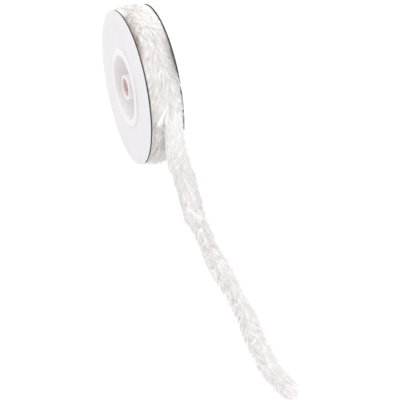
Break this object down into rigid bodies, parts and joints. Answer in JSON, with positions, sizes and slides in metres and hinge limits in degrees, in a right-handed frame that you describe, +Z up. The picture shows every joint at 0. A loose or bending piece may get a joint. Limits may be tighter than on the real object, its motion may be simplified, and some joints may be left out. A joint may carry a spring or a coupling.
{
  "type": "faux fur trim on a flanged spool",
  "caption": "Narrow fluffy white faux fur trim wound on a round flanged spool with a plastic hub, its loose end lying on the surface in front.",
  "frame": {"origin": "on the surface under the middle of the spool", "axes": "+X along the spool's axis towards the far flange, -Y the way the loose end runs, +Z up"},
  "size_m": [0.021, 0.2504, 0.0822],
  "materials": {
    "chipboard": "matte grey board with a fibrous cut edge",
    "facing_paper": "smooth white paper with a slight sheen",
    "hub_plastic": "white moulded plastic, semi-gloss",
    "fur": "long soft white synthetic pile"
  },
  "bodies": {
    "root": {"flange_board_near": "chipboard", "flange_board_far": "chipboard", "facing_paper_near": "facing_paper", "facing_paper_far": "facing_paper", "hub_half_near": "hub_plastic", "hub_half_far": "hub_plastic", "fur_winding": "fur", "fur_loose_end": "fur"}
  },
  "joints": []
}
